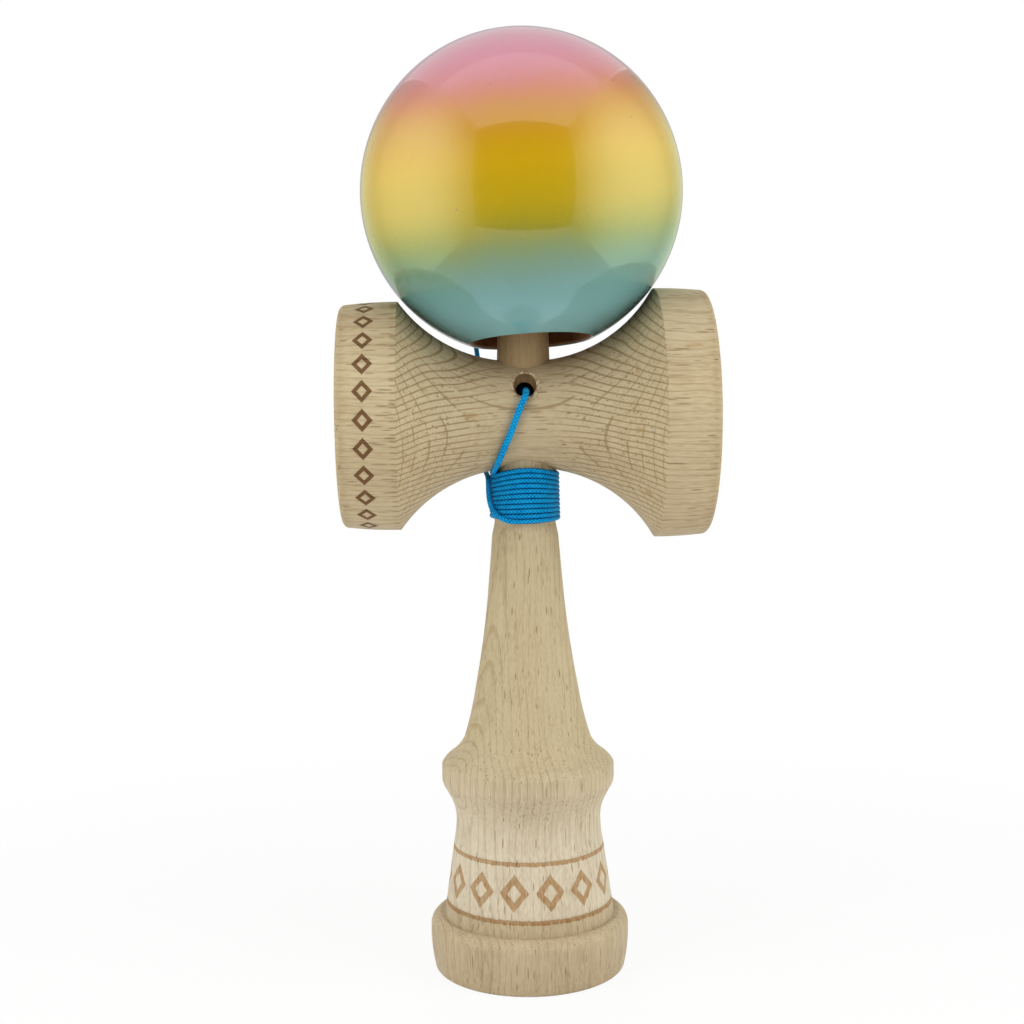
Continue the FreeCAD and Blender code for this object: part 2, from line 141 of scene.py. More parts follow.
KNOT_RISE = 0.010572
WIND_TURNS = 10.853
WIND_POINTS_PER_TURN = 16
WIND_START_ANGLE = math.radians(195)
WIND_START_HEIGHT = 0.09555
WIND_PITCH = 0.00081
# How far the first and the last turn rise in front of the neck and behind it.
FIRST_ARCH = 0.0015
LAST_ARCH = -0.0001
# A height on the neck and its radius there, below the winding and above it.
NECK_LOW = (0.086, 0.0058)
NECK_HIGH = (0.0958, 0.00565)


def wind_point(turn):
    """A control point of the winding, clockwise from above. It stands out a little further
    than the string's middle, because the spline cuts inside its corners."""
    angle = WIND_START_ANGLE - math.tau * turn
    height = WIND_START_HEIGHT - WIND_PITCH * turn
    share = (height - NECK_LOW[0]) / (NECK_HIGH[0] - NECK_LOW[0])
    neck = NECK_LOW[1] + (NECK_HIGH[1] - NECK_LOW[1]) * share
    cut = 0.75 + 0.25 * math.cos(math.tau / WIND_POINTS_PER_TURN)
    reach = (neck + STRING_DIAMETER / 2) / cut
    arch = (FIRST_ARCH + (LAST_ARCH - FIRST_ARCH) * turn / WIND_TURNS) * math.sin(angle) ** 2
    return (reach * math.cos(angle), reach * math.sin(angle), height + arch)


def raised(route, height):
    """A route lifted by a height."""
    return [(x, y, z + height) for x, y, z in route]


def leaned(route):
    """A route in the ball, moved to its middle and leaned with it."""
    return [BALL_MIDDLE + BALL_LEAN @ Vector(place) for place in route]


def smooth_line(name, points, steps, cyclic=False):
    """A curve whose one spline is smooth and has these control points."""
    line = bpy.data.curves.new(name, "CURVE")
    line.dimensions = "3D"
    spline = line.splines.new("NURBS")
    spline.points.add(len(points) - 1)
    for point, place in zip(spline.points, points):
        point.co = (*place, 1)
    spline.order_u = 3
    spline.use_endpoint_u = not cyclic
    spline.use_cyclic_u = cyclic
    line.resolution_u = steps
    return line


def mesh_of(curve):
    """The mesh that a curve makes."""
    holder = bpy.data.objects.new(curve.name, curve)
    made = bpy.data.meshes.new_from_object(holder)
    bpy.data.objects.remove(holder)
    return made


def string_tube(name, points, steps, cyclic=False, swell=()):
    """A round tube of string on a smooth line, swollen by these factors at its first points.
    Its UV map holds the length along it, in diameters, and the share of the way round it.
    Returns the piece and its middle line."""
    curve = smooth_line(name, points, steps, cyclic)
    for point, factor in zip(curve.splines[0].points, swell):
        point.radius = factor
    middle = [v.co.copy() for v in mesh_of(curve).vertices]
    run = [0.0]
    for a, b in zip(middle, middle[1:] + middle[:1]):
        run.append(run[-1] + (b - a).length / STRING_DIAMETER)
    curve.bevel_depth = STRING_DIAMETER / 2
    curve.bevel_resolution = STRING_ROUNDNESS
    curve.use_fill_caps = True
    mesh = mesh_of(curve)
    mesh.name = name
    last = len(middle) if cyclic else len(middle) - 1
    for corner in mesh.uv_layers[0].data:
        corner.uv.x = run[round(corner.uv.x * last)]
    mesh.shade_smooth()
    piece = bpy.data.objects.new(name, mesh)
    bpy.context.collection.objects.link(piece)
    return piece, middle


def feed(tree, socket, value):
    """Gives a socket a link from another node's output, or a plain value."""
    if isinstance(value, bpy.types.NodeSocket):
        tree.links.new(value, socket)
    else:
        socket.default_value = value


def sums(tree, operation, *values):
    """A Math node."""
    node = tree.nodes.new("ShaderNodeMath")
    node.operation = operation
    for socket, value in zip(node.inputs, values):
        feed(tree, socket, value)
    return node.outputs[0]


def plus(tree, total, *values):
    """Values added up."""
    for value in values:
        total = sums(tree, "ADD", total, value)
    return total


def minus(tree, value, less):
    """A value less another."""
    return sums(tree, "SUBTRACT", value, less)


def times(tree, product, *values):
    """Values multiplied."""
    for value in values:
        product = sums(tree, "MULTIPLY", product, value)
    return product


def away(tree, value, middle=0.0):
    """How far a value is from a middle one, on either side."""
    return sums(tree, "ABSOLUTE", minus(tree, value, middle) if middle else value)


def length_of(tree, a, b):
    """The length of a vector with these two parts."""
    return sums(tree, "SQRT", plus(tree, times(tree, a, a), times(tree, b, b)))


def span(tree, value, low, high, to_low=0.0, to_high=1.0, soft=False):
    """A value's way from low to high, as a share or between two other values."""
    node = tree.nodes.new("ShaderNodeMapRange")
    node.interpolation_type = "SMOOTHSTEP" if soft else "LINEAR"
    for socket, given in zip(node.inputs, (value, low, high, to_low, to_high)):
        feed(tree, socket, given)
    return node.outputs[0]


def tint(tree, share, a, b, how="MIX"):
    """One colour laid over another."""
    node = tree.nodes.new("ShaderNodeMix")
    node.data_type = "RGBA"
    node.blend_type = how
    feed(tree, node.inputs[0], share)
    feed(tree, node.inputs[6], a)
    feed(tree, node.inputs[7], b)
    return node.outputs[2]


def stretch(tree, vector, scales):
    """A vector times a number along each axis."""
    node = tree.nodes.new("ShaderNodeVectorMath")
    node.operation = "MULTIPLY"
    feed(tree, node.inputs[0], vector)
    node.inputs[1].default_value = scales
    return node.outputs[0]


def clouds(tree, vector, scales, detail=2.0):
    """Noise with this many features to a unit of length along each axis. Its outputs are a
    value and a colour."""
    node = tree.nodes.new("ShaderNodeTexNoise")
    feed(tree, node.inputs["Vector"], stretch(tree, vector, scales))
    node.inputs["Scale"].default_value = 1
    node.inputs["Detail"].default_value = detail
    return node.outputs


def varied(tree, noise, low, high):
    """Noise, most of which lies between 0.3 and 0.7, spread between two other values."""
    return span(tree, noise, 0.3, 0.7, low, high)


def parts_of(tree, vector):
    """The X, Y and Z of a vector."""
    node = tree.nodes.new("ShaderNodeSeparateXYZ")
    feed(tree, node.inputs[0], vector)
    return node.outputs


def relief(tree, shader, height, depth):
    """Lets a height raise and sink the surface by up to a depth in metres."""
    node = tree.nodes.new("ShaderNodeBump")
    node.inputs["Distance"].default_value = depth
    feed(tree, node.inputs["Height"], height)
    tree.links.new(node.outputs[0], shader.inputs["Normal"])


def finish_for(name):
    """A new material, its node tree, its shader and its texture coordinates."""
    material = bpy.data.materials.new(name)
    material.use_nodes = True
    tree = material.node_tree
    where = tree.nodes.new("ShaderNodeTexCoord")
    return material, tree, tree.nodes["Principled BSDF"], where


BRAID_YARNS = 4
BRAID_LAY = 1.4
BRAID_DEPTH = 0.00013
BRAID_UNDER = 0.45
# The yarns' crowns carry a painted highlight, and the hollows between them painted shade.
BRAID_LIT_CROWN = (0.006, 0.42, 0.92, 1)
BRAID_SHADED_HOLLOW = (0.0, 0.10, 0.36, 1)
BRAID_PATCH = (0.015, 0.5, 0.98, 1)
BRAID_SHADE = (0.0, 0.02, 0.11, 1)
# How far out from the neck the shade between the turns is full, and where it ends.
SHADE_FULL = 0.00068
SHADE_END = 0.00088
SHADE_TOP = (0.0975, 0.0965)

braid, tree, shader, where = finish_for("braided_nylon")
here = where.outputs["Object"]
along, around = parts_of(tree, where.outputs["UV"])[:2]
turned = times(tree, around, BRAID_YARNS)
laid = times(tree, along, BRAID_LAY)
one_way = plus(tree, turned, laid)
other_way = minus(tree, turned, laid)
over = plus(tree, sums(tree, "FLOOR", one_way), sums(tree, "FLOOR", other_way))
over = sums(tree, "PINGPONG", over, 1)
one_hump, other_hump = (
    away(tree, sums(tree, "SINE", times(tree, way, math.pi))) for way in (one_way, other_way)
)
one_over = times(tree, one_hump, span(tree, other_hump, 0, 1, BRAID_UNDER, 1))
other_over = times(tree, other_hump, span(tree, one_hump, 0, 1, BRAID_UNDER, 1))
hump = span(tree, over, 0, 1, one_over, other_over)
patchy = clouds(tree, here, (700, 700, 700), 3)[0]
# Painted highlight and painted shade: the yarns are lighter on their crowns and darker where
# they dip under each other.
colour = tint(tree, span(tree, hump, 0.12, 0.85), BRAID_SHADED_HOLLOW, BRAID_LIT_CROWN)
colour = tint(tree, span(tree, patchy, 0.35, 0.7, 0.0, 0.35), colour, BRAID_PATCH)
# Between the turns of the winding the braid lies in its own shade.
x, y, z = parts_of(tree, here)
neck = span(tree, z, NECK_LOW[0], NECK_HIGH[0], NECK_LOW[1], NECK_HIGH[1])
shade = span(tree, minus(tree, length_of(tree, x, y), neck), SHADE_FULL, SHADE_END, 0.75, 0.0)
colour = tint(tree, times(tree, shade, span(tree, z, *SHADE_TOP)), colour, BRAID_SHADE)
feed(tree, shader.inputs["Base Color"], colour)
feed(tree, shader.inputs["Roughness"], span(tree, hump, 0, 1, 0.65, 0.45))
shader.inputs["Specular IOR Level"].default_value = 0.25
shader.inputs["Specular Tint"].default_value = (0.1, 0.5, 1, 1)
relief(tree, shader, hump, BRAID_DEPTH)

knot_low, knot_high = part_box("ball_end_knot")
hole_knot_low, hole_knot_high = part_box("cups_end_knot")
wind_steps = round(WIND_TURNS * WIND_POINTS_PER_TURN)
string, string_line = string_tube(
    "string",
    [(0, hole_knot_low.y, (hole_knot_low.z + hole_knot_high.z) / 2)]
    + raised(FRONT_ROUTE, CUPS_HEIGHT)
    + [wind_point(WIND_TURNS * k / wind_steps) for k in range(wind_steps + 1)]
    + raised(BACK_ROUTE, CUPS_HEIGHT)
    + leaned([*TAIL_ROUTE, (0, 0, KNOT_RISE)]),
    STRING_STEPS,
    swell=SLACK_SWELL,
)
string.data.materials.append(braid)
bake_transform(string)
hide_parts("string_front_stretch", "string_winding", "string_back_stretch", "string_tail")

# The string ends in an overhand knot at each end: one inside the ken, pulled up behind the
# front hole, and one inside the ball, under the bead.
KNOT_POINTS = 36
KNOT_STEPS = 4
KNOT_RADIUS = 0.00062
KNOT_LOOP = 0.00036
KNOT_HALF = 0.00085


def overhand(name, middle, axis_turn, node, body):
    """A pulled-up knot as a closed trefoil of the string."""
    points = []
    for k in range(KNOT_POINTS):
        a = math.tau * k / KNOT_POINTS
        ring = KNOT_RADIUS + KNOT_LOOP * math.cos(3 * a)
        place = (ring * math.cos(2 * a), ring * math.sin(2 * a), KNOT_HALF * math.sin(3 * a))
        points.append(middle + axis_turn @ Vector(place))
    knot, _ = string_tube(name, points, KNOT_STEPS, cyclic=True)
    knot.data.materials.append(braid)
    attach(knot, body)
    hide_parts(node)
    return knot


lying = Matrix.Rotation(math.radians(90), 3, "X")
knots = [
    overhand("knot_in_ken", (hole_knot_low + hole_knot_high) / 2, lying, "cups_end_knot", "ken"),
    overhand("knot_in_ball", (knot_low + knot_high) / 2, BALL_LEAN, "ball_end_knot", "bead"),
]

# The ken is turned from one stick of pale beech, sanded and left bare. Its grain runs up it,
# and its growth rings lie nearly square to the front, so that they arch on the flare above
# the collar. Towards the foot it is painted paler, a painted brightening that stands in for
# light falling there. A band of lozenges is burned round the base.
BEECH_PALE = (0.55, 0.452, 0.297, 1)
BEECH_DARK = (0.355, 0.255, 0.14, 1)
BEECH_FLECK = (0.22, 0.14, 0.07, 1)
BEECH_DEPTH = 0.00003
MILLIMETRES = (1000, 1000, 1000)


def together(tree, x, y, z):
    """A vector from three values."""
    node = tree.nodes.new("ShaderNodeCombineXYZ")
    for socket, value in zip(node.inputs, (x, y, z)):
        feed(tree, socket, value)
    return node.outputs[0]


def cells(tree, vector):
    """Cells about one unit across. Its outputs are the distance from a cell's heart and the
    cell's own colour."""
    node = tree.nodes.new("ShaderNodeTexVoronoi")
    feed(tree, node.inputs["Vector"], vector)
    node.inputs["Scale"].default_value = 1
    return node.outputs["Distance"], node.outputs["Color"]


def new_group(name, inputs, outputs):
    """A node group with these sockets, each a name and its kind. Returns the group, what it
    is given and what it puts out."""
    group = bpy.data.node_groups.new(name, "ShaderNodeTree")
    for way, sockets in (("INPUT", inputs), ("OUTPUT", outputs)):
        for label, kind in sockets.items():
            group.interface.new_socket(label, in_out=way, socket_type="NodeSocket" + kind)
    given = group.nodes.new("NodeGroupInput").outputs
    return group, given, group.nodes.new("NodeGroupOutput").inputs


def placed(tree, group, values):
    """A node group placed in a material with its own values, and what it puts out."""
    node = tree.nodes.new("ShaderNodeGroup")
    node.node_tree = group
    for label, value in values.items():
        feed(tree, node.inputs[label], value)
    return node.outputs


grain, given, result = new_group(
    "beech_grain",
    {
        "Place": "Vector",
        "Pale": "Color",
        "Dark": "Color",
        "Fleck": "Color",
        "Rings": "Float",
        "Flecks": "Float",
        "Ring Width": "Float",
        "Fleck Length": "Float",
    },
    {"Color": "Color", "Height": "Float"},
)
# The grain runs along Z here and the rings are square to Y, in millimetres.
place = stretch(grain, given["Place"], MILLIMETRES)
x, y, z = parts_of(grain, place)
drift = parts_of(grain, clouds(grain, place, (0.09, 0.09, 0.022), 1)[1])
wander = times(grain, minus(grain, drift[0], 0.5), 5.5)
bow = times(grain, x, x, 0.006)
depth = plus(grain, y, wander, bow)
rings = sums(grain, "FRACT", sums(grain, "DIVIDE", depth, given["Ring Width"]))
# Each ring darkens slowly and ends sharply, and it fades out here and there.
late = times(
    grain,
    span(grain, rings, 0.6, 0.95, soft=True),
    span(grain, rings, 1.0, 0.97),
    span(grain, drift[1], 0.35, 0.6, 0.35, 1.0),
)
streak = clouds(grain, place, (0.8, 0.8, 0.07), 2)[0]
fibre = clouds(grain, place, (5.5, 5.5, 0.35), 2)[0]
broad = clouds(grain, place, (0.07, 0.07, 0.03), 1)[0]
tone = plus(
    grain,
    varied(grain, streak, 0.0, 0.32),
    varied(grain, fibre, -0.26, 0.36),
    span(grain, broad, 0.35, 0.65, -0.1, 0.16),
    times(grain, late, given["Rings"]),
)
colour = tint(grain, span(grain, tone, 0, 1), given["Pale"], given["Dark"])
# The flecks are some of the cells of a pattern that is long along the grain.
lean = times(grain, minus(grain, drift[2], 0.5), 0.9, 0.1)
slant = plus(grain, x, times(grain, z, lean))
run = sums(grain, "DIVIDE", z, given["Fleck Length"])
heart, own = cells(grain, stretch(grain, together(grain, slant, y, run), (1.75, 1.75, 1)))
chosen = parts_of(grain, own)
dash = times(
    grain,
    span(grain, heart, 0.29, 0.17, soft=True),
    sums(grain, "GREATER_THAN", given["Flecks"], chosen[0]),
    span(grain, chosen[1], 0, 1, 0.35, 0.95),
)
feed(grain, result["Color"], tint(grain, dash, colour, given["Fleck"]))
rough = minus(grain, varied(grain, fibre, 0, 0.5), dash)
feed(grain, result["Height"], minus(grain, rough, times(grain, late, 0.35)))


def beech(
    tree,
    place,
    rings,
    flecks,
    width,
    length,
    pale=BEECH_PALE,
    dark=BEECH_DARK,
    fleck=BEECH_FLECK,
):
    """The grain's colour and height, where the grain runs along the place's Z. The rings'
    darkness and the number of flecks are shares, the rings' width and the flecks' length are
    in millimetres."""
    values = {
        "Place": place,
        "Pale": pale,
        "Dark": dark,
        "Fleck": fleck,
        "Rings": rings,
        "Flecks": flecks,
        "Ring Width": width,
        "Fleck Length": length,
    }
    return placed(tree, grain, values)[:]


def moved(tree, vector, by, turn=(0, 0, 0)):
    """A vector turned and then moved."""
    node = tree.nodes.new("ShaderNodeMapping")
    feed(tree, node.inputs["Vector"], vector)
    node.inputs["Location"].default_value = by
    node.inputs["Rotation"].default_value = turn
    return node.outputs[0]


def left_bare(tree, shader, colour, height):
    """Sanded wood with nothing on it."""
    feed(tree, shader.inputs["Base Color"], colour)
    feed(tree, shader.inputs["Roughness"], span(tree, height, -1, 1, 0.66, 0.52))
    shader.inputs["Specular IOR Level"].default_value = 0.2
    relief(tree, shader, height, BEECH_DEPTH)


def dress(node, material):
    """Gives a CAD node's piece its finish."""
    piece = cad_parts[node]
    piece.data.materials.clear()
    piece.data.materials.append(material)
    return piece


LOZENGE_RIM = (0.84, 0.78)
LOZENGE_HEART = (0.42, 0.36)

burning, given, result = new_group(
    "burned_lozenges",
    {"Angle": "Float", "Up": "Float", "Count": "Float", "Half Height": "Float"},
    {"Burned": "Float"},
)
turns = sums(burning, "DIVIDE", given["Angle"], math.tau)
step = sums(burning, "FRACT", times(burning, turns, given["Count"]))
across = times(burning, away(burning, step, 0.5), 2)
tall = sums(burning, "DIVIDE", away(burning, given["Up"]), given["Half Height"])
reach = plus(burning, across, tall)
whole = span(burning, reach, *LOZENGE_RIM)
heart = span(burning, reach, *LOZENGE_HEART)
feed(burning, result["Burned"], minus(burning, whole, heart))


def lozenges(tree, angle, up, count, half_height):
    """The mask of a row of lozenges burned round an axis, each with a bare heart."""
    values = {"Angle": angle, "Up": up, "Count": count, "Half Height": half_height}
    return placed(tree, burning, values)["Burned"]


BAND_MIDDLE = 0.0185
BAND_HALF = 0.0042
BAND_COUNT = 14
BAND_TINT = (0.62, 0.41, 0.23, 1)
RULE_AWAY = BAND_HALF + 0.0011
RULE_EDGE = (0.00045, 0.00035)
BURN_DEPTH = 2.5
KEN_FLECK = (0.275, 0.185, 0.1, 1)
LIT_FOOT_HEIGHTS = (0.047, 0.022)
FOOT_LIGHT_TINT = (1.25, 1.35, 1.63, 1)
FOOT_RING = (0.0142, 0.0128)
FOOT_RING_TINT = (0.80, 0.735, 0.63, 1)
SPIKE_SHADE_RISE = (0.106, 0.112)
SPIKE_SHADE_BROWN = (0.37, 0.225, 0.095, 1)

ken_wood, tree, shader, where = finish_for("ken_beech")
here = where.outputs["Object"]
grown = moved(tree, here, (0.013, 0.021, 0), (0, 0, math.radians(62)))
colour, height = beech(
    tree, grown, rings=0.4, flecks=0.44, width=1.3, length=5.5, fleck=KEN_FLECK
)
x, y, z = parts_of(tree, here)
# Painted light: the cone and collar are painted paler towards the foot. The base ring's tint
# then takes the brightening back there.
colour = tint(tree, span(tree, z, *LIT_FOOT_HEIGHTS, soft=True), colour, FOOT_LIGHT_TINT, "MULTIPLY")
colour = tint(tree, span(tree, z, *FOOT_RING), colour, FOOT_RING_TINT, "MULTIPLY")
# Painted shade: above the cross cups' top, where the ken shows through the string hole and
# between the cups and the ball, its wood is painted darker and browner.
colour = tint(tree, span(tree, z, *SPIKE_SHADE_RISE, 0, 0.62, soft=True), colour, SPIKE_SHADE_BROWN)
# The burned band: lozenges between two rules, with slightly ragged edges.
ragged = clouds(tree, here, (1900, 1900, 500), 2)[0]
up = minus(tree, z, BAND_MIDDLE)
up = plus(tree, up, varied(tree, ragged, -0.00012, 0.00012))
diamonds = lozenges(tree, sums(tree, "ARCTAN2", x, y), up, BAND_COUNT, BAND_HALF)
rules = span(tree, away(tree, away(tree, up), RULE_AWAY), *RULE_EDGE)
burned = sums(tree, "MAXIMUM", diamonds, rules)
scorch = times(tree, burned, span(tree, ragged, 0.35, 0.65, 0.7, 1))
colour = tint(tree, scorch, colour, BAND_TINT, "MULTIPLY")
left_bare(tree, shader, colour, minus(tree, height, times(tree, burned, BURN_DEPTH)))
dress("ken", ken_wood)

# The cross cups are turned from another stick, with the grain along them, bored to the ken's
# taper and drilled in front for the string. Growth rings and rays cross as thin lines on their
# hollow sides, and small lozenges are burned round the small cup's barrel.
RING_TIP = 0.28
RING_STEP = 1.18
RAY_STEP = 2.2
LINE_BROWN = (0.25, 0.155, 0.07, 1)
HOLLOW_END = (0.0247, 0.0242)
BLOT_BROWN = (0.36, 0.235, 0.10, 1)
CUP_EDGE = (0.0316, 0.034)
END_GRAIN_TINT = (0.87, 0.84, 0.80, 1)
HOLE_UP = 0.0056
HOLE_RADIUS = 0.00215
HOLE_RIM_BROWN = (0.36, 0.235, 0.12, 1)
HOLE_SHADE_BROWN = (0.42, 0.25, 0.11, 1)
HOLE_CHIP = (0.86, 0.74, 0.56, 1)
SMALL_ROW_MIDDLE = -0.0292
SMALL_ROW_HALF = 0.0023
SMALL_ROW_COUNT = 26
SMALL_ROW_TINT = (0.26, 0.14, 0.07, 1)
BARREL_RADIUS = 0.0202


def scored(tree, across, step, along, width, whole):
    """Thin lines across a depth, this many millimetres apart and half this wide. They run
    on unbroken over a larger share of their length the more whole they are."""
    count = sums(tree, "DIVIDE", across, step)
    nearest = sums(tree, "ROUND", count)
    off = times(tree, away(tree, count, nearest), step)
    patch = together(tree, times(tree, along, 0.28), times(tree, nearest, 7.3), 0.0)
    broken = clouds(tree, patch, (1, 1, 1), 3)[0]
    breaks = span(tree, broken, 0.62 - whole, 0.7 - whole, 0.1, 1, soft=True)
    return times(tree, span(tree, off, width, width * 0.3, soft=True), breaks)


cups_wood, tree, shader, where = finish_for("cross_cups_beech")
here = where.outputs["Object"]
along_x = moved(tree, here, (-0.0045, 0.004, 0), (0, math.radians(-90), 0))
colour, height = beech(tree, along_x, rings=0.15, flecks=0.78, width=1.45, length=6.5)
x, y, z = parts_of(tree, here)
up = minus(tree, z, CUPS_HEIGHT)
off = away(tree, x)
off_x, off_y, off_z = parts_of(tree, stretch(tree, here, MILLIMETRES))
off_z = minus(tree, off_z, CUPS_HEIGHT * 1000)
waver = parts_of(tree, clouds(tree, here, (70, 70, 70), 1)[1])
ring_rise = minus(tree, off_z, times(tree, off_y, RING_TIP))
ring_rise = plus(tree, ring_rise, times(tree, waver[0], 2.4))
ray_depth = plus(tree, off_y, times(tree, off_z, RING_TIP), times(tree, waver[1], 1.8))
fan = times(
    tree,
    scored(tree, ring_rise, RING_STEP, off_x, width=0.2, whole=0.34),
    span(tree, off, 0.003, 0.012, 0.2, 1, soft=True),
    span(tree, off, *HOLLOW_END, 0.35, 1),
)
rays = scored(tree, ray_depth, RAY_STEP, ring_rise, width=0.17, whole=0.2)
rays = times(tree, rays, span(tree, off, *HOLLOW_END))
colour = tint(tree, times(tree, fan, 0.75), colour, LINE_BROWN)
colour = tint(tree, times(tree, rays, 0.6), colour, LINE_BROWN)
# A few larger brown flecks, and darker end grain in the cups and on their rounded edges.
wobble = tree.nodes.new("ShaderNodeVectorMath")
wobble.operation = "ADD"
feed(tree, wobble.inputs[0], stretch(tree, here, (130, 420, 420)))
uneven = clouds(tree, here, (500, 1100, 1100), 2)[1]
feed(tree, wobble.inputs[1], stretch(tree, uneven, (0.45, 0.45, 0.45)))
heart, own = cells(tree, wobble.outputs[0])
brown = times(
    tree,
    sums(tree, "LESS_THAN", parts_of(tree, own)[0], 0.06),
    span(tree, heart, 0.4, 0.2, soft=True),
)
colour = tint(tree, times(tree, brown, 0.6), colour, BLOT_BROWN)
colour = tint(tree, span(tree, off, *CUP_EDGE, soft=True), colour, END_GRAIN_TINT, "MULTIPLY")
# The drilled hole: painted shade inside it, darker and browner, a brown ring round its edge,
# and pale chips of torn fibre on its rim.
torn = clouds(tree, here, (1500, 1500, 1500), 3)[0]
front = sums(tree, "LESS_THAN", y, 0)
edge = length_of(tree, x, minus(tree, up, HOLE_UP))
edge = plus(tree, edge, varied(tree, torn, -0.0004, 0.0004))
inside = times(tree, front, span(tree, edge, HOLE_RADIUS + 0.0003, HOLE_RADIUS - 0.0001))
rim = times(tree, front, span(tree, edge, HOLE_RADIUS + 0.0009, HOLE_RADIUS + 0.0004))
chips = times(tree, rim, span(tree, torn, 0.5, 0.56))
colour = tint(tree, times(tree, rim, 0.5), colour, HOLE_RIM_BROWN)
# Painted shade inside the hole.
colour = tint(tree, times(tree, inside, 0.8), colour, HOLE_SHADE_BROWN)
colour = tint(tree, times(tree, chips, 0.85), colour, HOLE_CHIP)
# The burned lozenges.
angle = sums(tree, "ARCTAN2", y, up)
diamonds = lozenges(
    tree, angle, minus(tree, x, SMALL_ROW_MIDDLE), SMALL_ROW_COUNT, SMALL_ROW_HALF
)
outside = sums(tree, "GREATER_THAN", length_of(tree, y, up), BARREL_RADIUS)
burned = times(tree, diamonds, outside)
colour = tint(tree, times(tree, burned, 0.95), colour, SMALL_ROW_TINT, "MULTIPLY")
height = minus(tree, height, times(tree, burned, BURN_DEPTH))
left_bare(tree, shader, colour, minus(tree, height, times(tree, fan, 0.6)))
dress("cross_cups", cups_wood)

# The ball is a turned wooden ball, sprayed in a fade from teal at the bore through yellow and
# orange to pink at the top, a little askew to its bore, under a thick clear lacquer. The bore
# and the eye are bare wood.
BALL_RADIUS = 0.030
LACQUER_EDGE = (BALL_RADIUS - 0.0003, BALL_RADIUS - 0.00016)
LACQUER_DEPTH = 0.00003
SPECK_BROWN = (0.12, 0.09, 0.05, 1)
BORE_PALE = (0.36, 0.17, 0.085, 1)
BORE_DARK = (0.22, 0.095, 0.045, 1)
FADE_LEAN = (
    Matrix.Rotation(math.radians(-5.5), 3, "Y") @ Matrix.Rotation(math.radians(5), 3, "X")
)
# Heights along the fade, from the ball's middle, and the paint there. Its brightness by height
# also holds painted light: the teal low on the ball is painted lighter for light from below
# that the underside lacks.
BALL_FADE = [
    (-0.0300, (0.165, 0.375, 0.405)),
    (-0.0215, (0.160, 0.370, 0.400)),
    (-0.0180, (0.134, 0.330, 0.345)),
    (-0.0150, (0.132, 0.300, 0.275)),
    (-0.0120, (0.150, 0.270, 0.165)),
    (-0.0095, (0.190, 0.262, 0.080)),
    (-0.0075, (0.265, 0.270, 0.035)),
    (-0.0050, (0.382, 0.310, 0.018)),
    (-0.0020, (0.478, 0.337, 0.010)),
    (0.0030, (0.540, 0.342, 0.006)),
    (0.0055, (0.566, 0.345, 0.006)),
    (0.0090, (0.548, 0.297, 0.007)),
    (0.0120, (0.533, 0.266, 0.020)),
    (0.0145, (0.533, 0.235, 0.045)),
    (0.0165, (0.542, 0.200, 0.085)),
    (0.0185, (0.542, 0.186, 0.150)),
    (0.0205, (0.552, 0.198, 0.225)),
    (0.0235, (0.562, 0.208, 0.280)),
    (0.0270, (0.560, 0.220, 0.305)),
    (0.0300, (0.550, 0.230, 0.310)),
]


def length_from_origin(tree, vector):
    """The length of a vector."""
    node = tree.nodes.new("ShaderNodeVectorMath")
    node.operation = "LENGTH"
    feed(tree, node.inputs[0], vector)
    return node.outputs["Value"]


lacquer, tree, shader, where = finish_for("ball_lacquer")
here = where.outputs["Object"]
centred = moved(tree, here, -BALL_MIDDLE)
tilted = moved(tree, centred, (0, 0, 0), FADE_LEAN.inverted().to_euler())
mist = clouds(tree, here, (60, 60, 60), 2)[0]
spray = clouds(tree, here, (2600, 2600, 2600), 1)[0]
level = plus(
    tree,
    parts_of(tree, tilted)[2],
    varied(tree, mist, -0.0006, 0.0006),
    varied(tree, spray, -0.0005, 0.0005),
)
ramp = tree.nodes.new("ShaderNodeValToRGB")
ramp.color_ramp.interpolation = "B_SPLINE"
stops = ramp.color_ramp.elements
while len(stops) < len(BALL_FADE):
    stops.new(0.5)
for stop, (at, shade) in zip(stops, BALL_FADE):
    stop.position = (at + BALL_RADIUS) / (2 * BALL_RADIUS)
    stop.color = (*shade, 1)
feed(tree, ramp.inputs[0], span(tree, level, -BALL_RADIUS, BALL_RADIUS))
# A few specks of dust are caught in the lacquer.
heart, own = cells(tree, stretch(tree, here, (330, 330, 330)))
speck = times(
    tree,
    span(tree, heart, 0.07, 0.035),
    sums(tree, "LESS_THAN", parts_of(tree, own)[0], 0.12),
)
paint = tint(tree, times(tree, speck, 0.7), ramp.outputs[0], SPECK_BROWN)
grown = moved(tree, here, (0.03, 0.05, 0))
bare, bare_height = beech(
    tree, grown, rings=0.4, flecks=0.4, width=1.4, length=4.0, pale=BORE_PALE, dark=BORE_DARK
)
masked = clouds(tree, here, (900, 900, 900), 2)[0]
painted = length_from_origin(tree, centred)
painted = plus(tree, painted, varied(tree, masked, -0.00008, 0.00008))
painted = span(tree, painted, *LACQUER_EDGE)
feed(tree, shader.inputs["Base Color"], tint(tree, painted, bare, paint))
feed(tree, shader.inputs["Roughness"], span(tree, painted, 0, 1, 0.62, 0.2))
feed(tree, shader.inputs["Coat Weight"], painted)
shader.inputs["Specular IOR Level"].default_value = 0.3
shader.inputs["Coat Roughness"].default_value = 0.035
shader.inputs["Coat IOR"].default_value = 1.5
peel = clouds(tree, here, (150, 150, 150), 2)[0]
skin = plus(tree, times(tree, peel, 0.35), times(tree, speck, 0.6))
skin = plus(tree, times(tree, skin, painted), times(tree, bare_height, 0.4))
relief(tree, shader, skin, LACQUER_DEPTH)
dress("ball", lacquer)

